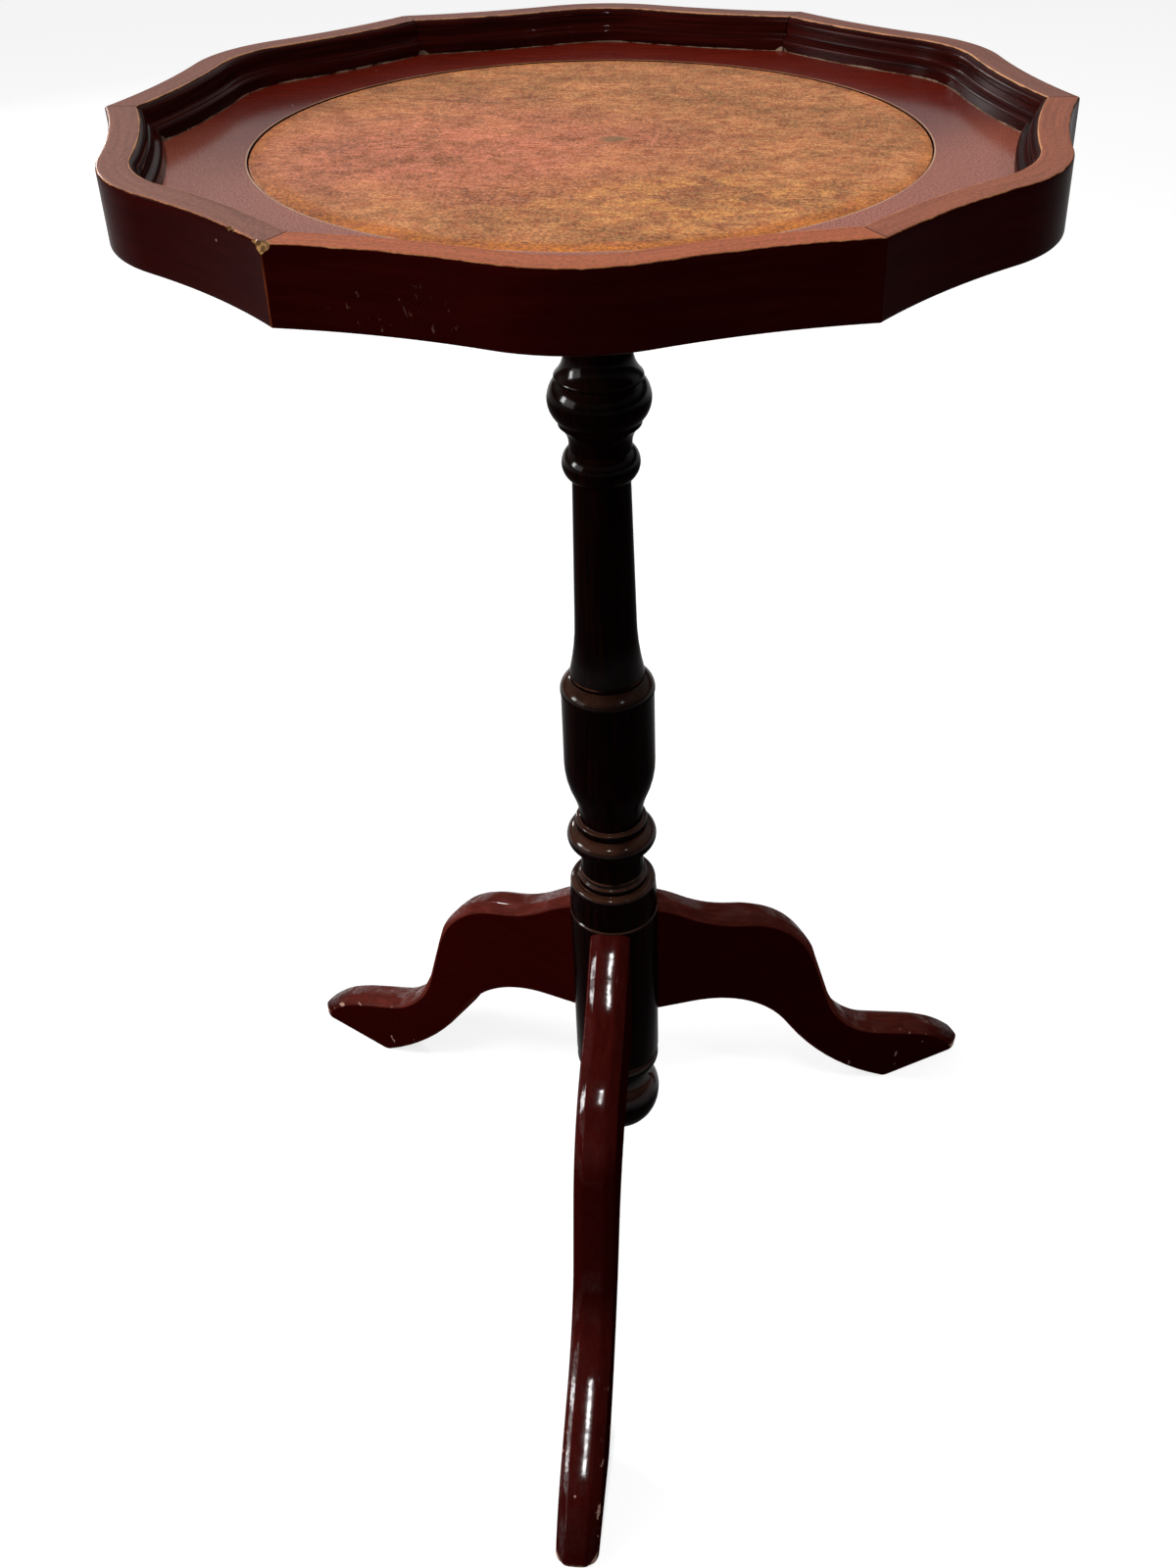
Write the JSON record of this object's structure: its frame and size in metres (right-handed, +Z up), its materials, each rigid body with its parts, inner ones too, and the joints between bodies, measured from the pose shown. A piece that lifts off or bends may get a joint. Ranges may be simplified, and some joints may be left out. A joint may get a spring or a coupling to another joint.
{
  "type": "pedestal end table",
  "caption": "Small tray-top occasional table: scalloped moulded rim round a leather-lined top, on a turned column with cabriole tripod legs and a ball drop.",
  "frame": {"origin": "on the floor, on the column's axis", "axes": "+Z up along the column, -Y toward the front leg, +X to the right of someone facing the front leg"},
  "size_m": [0.3432, 0.3501, 0.52],
  "materials": {
    "leather": "mottled antique-dyed leather, dull sheen",
    "top_wood": "dusty red-brown lacquered mahogany",
    "rim_wood": "dark red lacquered mahogany with worn arrises",
    "column_wood": "very dark glossy mahogany",
    "leg_wood": "dark red glossy mahogany, scuffed at the feet",
    "inner_wood": "plain beech, stained where it shows",
    "screw_metal": "dull brass"
  },
  "bodies": {
    "root": {"leather_inset": "leather", "top_panel": "top_wood", "rim_front": "rim_wood", "rim_front_right": "rim_wood", "rim_back_right": "rim_wood", "rim_back": "rim_wood", "rim_back_left": "rim_wood", "rim_front_left": "rim_wood", "rim_splines": "inner_wood", "top_cleat": "inner_wood", "cleat_screws": "screw_metal", "centre_screw": "screw_metal", "column": "column_wood", "leg_front": "leg_wood", "leg_right": "leg_wood", "leg_left": "leg_wood", "leg_dowels": "inner_wood"}
  },
  "joints": []
}
